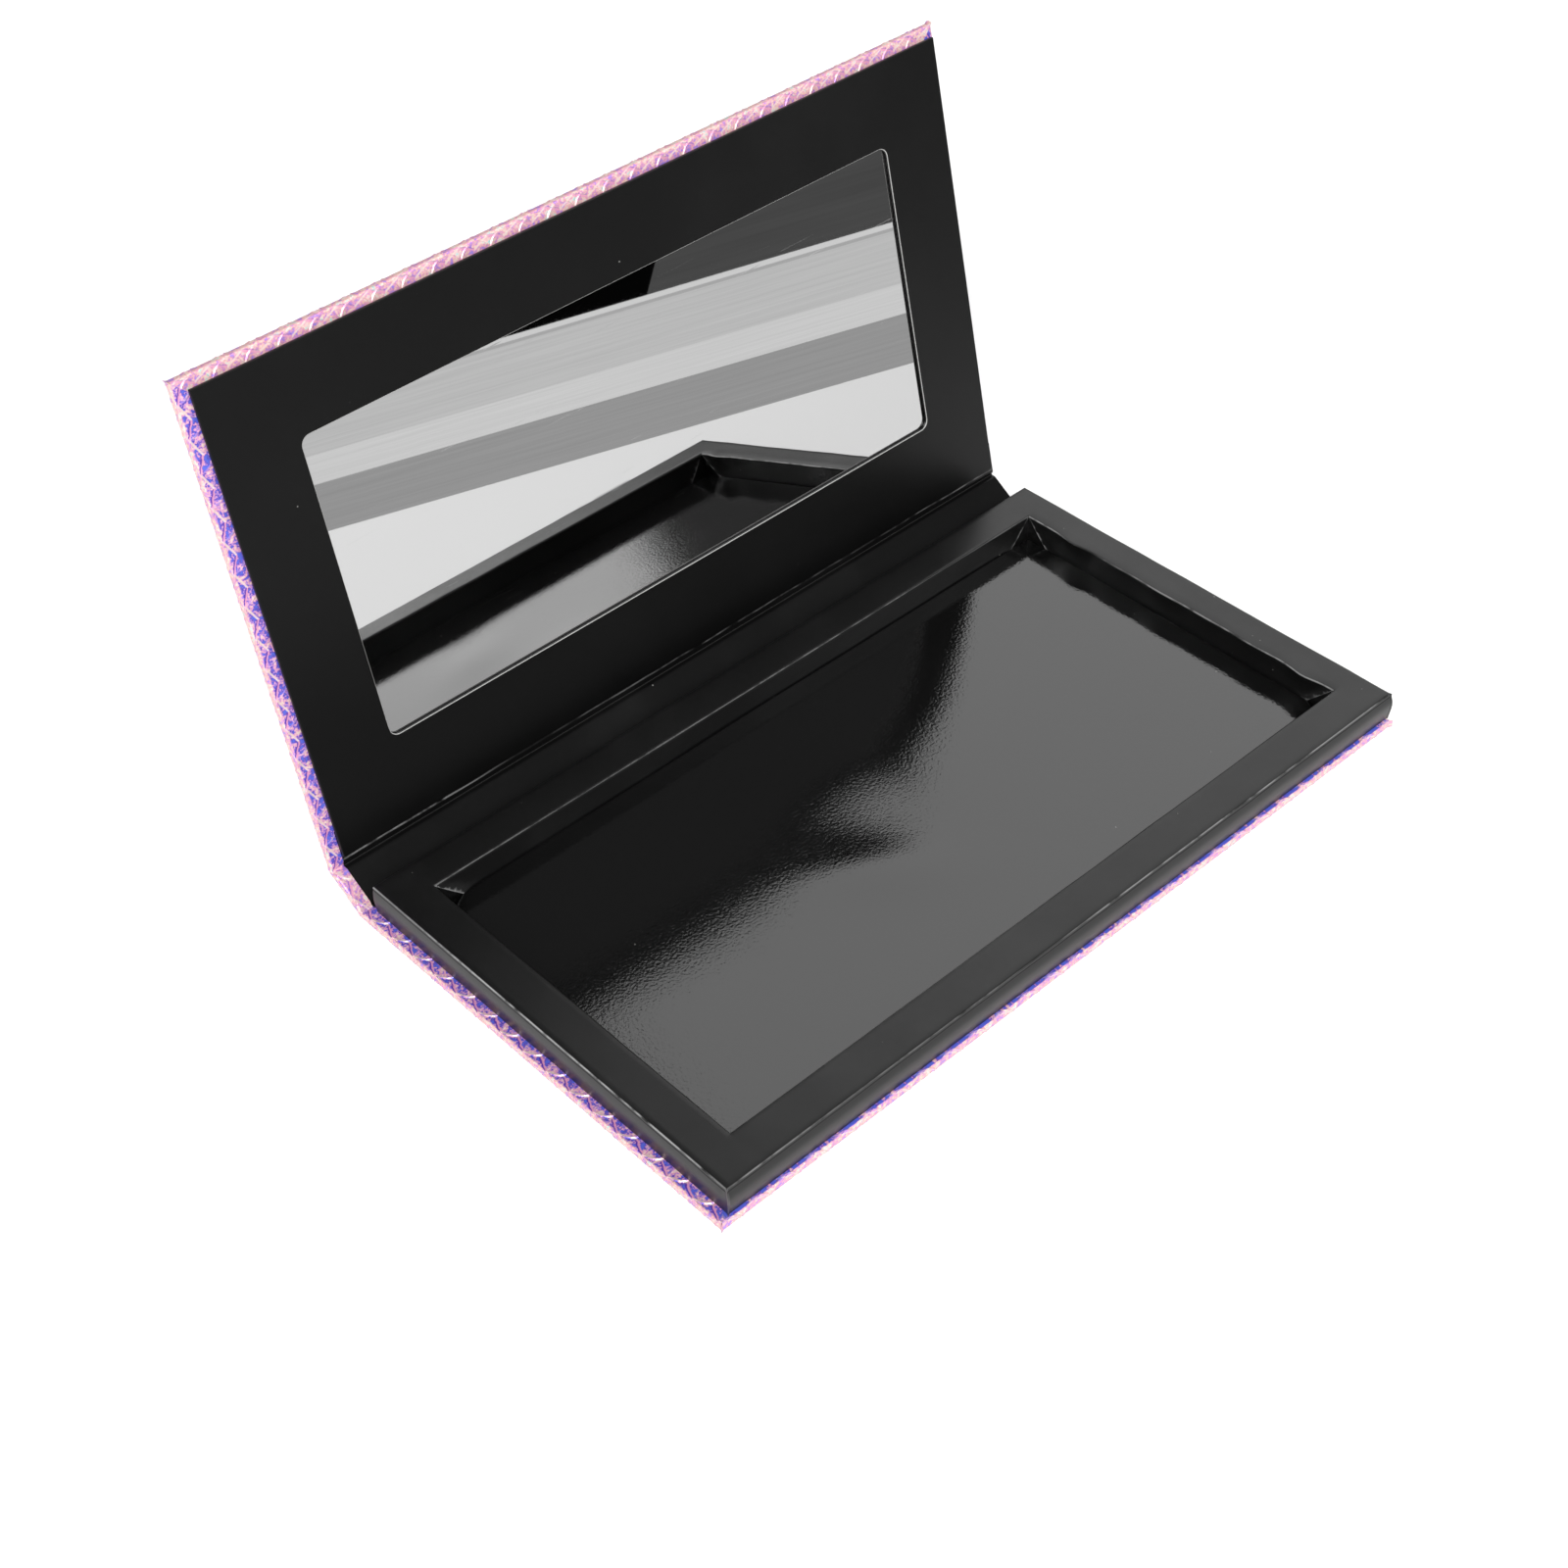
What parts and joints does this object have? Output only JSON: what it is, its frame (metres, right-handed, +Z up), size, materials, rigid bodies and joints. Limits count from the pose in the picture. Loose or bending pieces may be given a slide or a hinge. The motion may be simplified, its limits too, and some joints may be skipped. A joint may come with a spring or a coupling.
{
  "type": "magnetic makeup palette",
  "caption": "Book-style magnetic makeup palette: wrapped board covers on paper hinges, a tray with a magnetic floor for loose pans, and a mirror in the lid.",
  "frame": {"origin": "middle of the base cover's flat underside, on the surface that the palette stands on", "axes": "+X along the hinges to the right of a person facing the open palette, +Y to the rear, where the hinges are, +Z up"},
  "size_m": [0.1928, 0.1414, 0.1153],
  "materials": {
    "greyboard": "raw grey board",
    "iridescent_film": "embossed iridescent film",
    "black_paper": "satin black paper",
    "black_card": "matt black card with pale cut edges",
    "adhesive": "adhesive sheet",
    "ferrite_rubber": "ferrite-filled rubber",
    "gloss_film": "gloss black film",
    "mirror": "silvered sheet",
    "magnet_metal": "nickel plate"
  },
  "bodies": {
    "base": {"base_board": "greyboard", "base_wrap": "iridescent_film", "base_liner_strip": "black_paper", "tray_rail_front": "greyboard", "tray_rail_rear": "greyboard", "tray_rail_left": "greyboard", "tray_rail_right": "greyboard", "tray_wrap": "black_paper", "magnet_adhesive": "adhesive", "magnet_sheet": "ferrite_rubber", "magnet_film": "gloss_film", "tray_magnet_left": "magnet_metal", "tray_magnet_right": "magnet_metal", "rear_groove_wrap": "iridescent_film", "rear_groove_liner": "black_paper"},
    "spine": {"spine_board": "greyboard", "spine_wrap": "iridescent_film", "spine_liner": "black_paper", "lid_groove_wrap": "iridescent_film", "lid_groove_liner": "black_paper"},
    "lid": {"lid_board": "greyboard", "lid_wrap": "iridescent_film", "lid_liner_strip": "black_paper", "lid_card": "black_card", "mirror": "mirror", "mirror_tape": "adhesive", "lid_magnet_left": "magnet_metal", "lid_magnet_right": "magnet_metal"}
  },
  "joints": [
    {"name": "spine_hinge", "type": "hinge", "parent": "base", "child": "spine", "pos_m": [0, 0.05577, 0.00105], "axis": [1, 0, 0], "range_deg": [-33.5, 56.5], "deforming": ["rear_groove_wrap", "rear_groove_liner"]},
    {"name": "lid_hinge", "type": "hinge", "parent": "spine", "child": "lid", "pos_m": [0, 0.06474, 0.00698], "axis": [1, 0, 0], "range_deg": [-45.4, 44.6], "deforming": ["lid_groove_wrap", "lid_groove_liner"]}
  ]
}
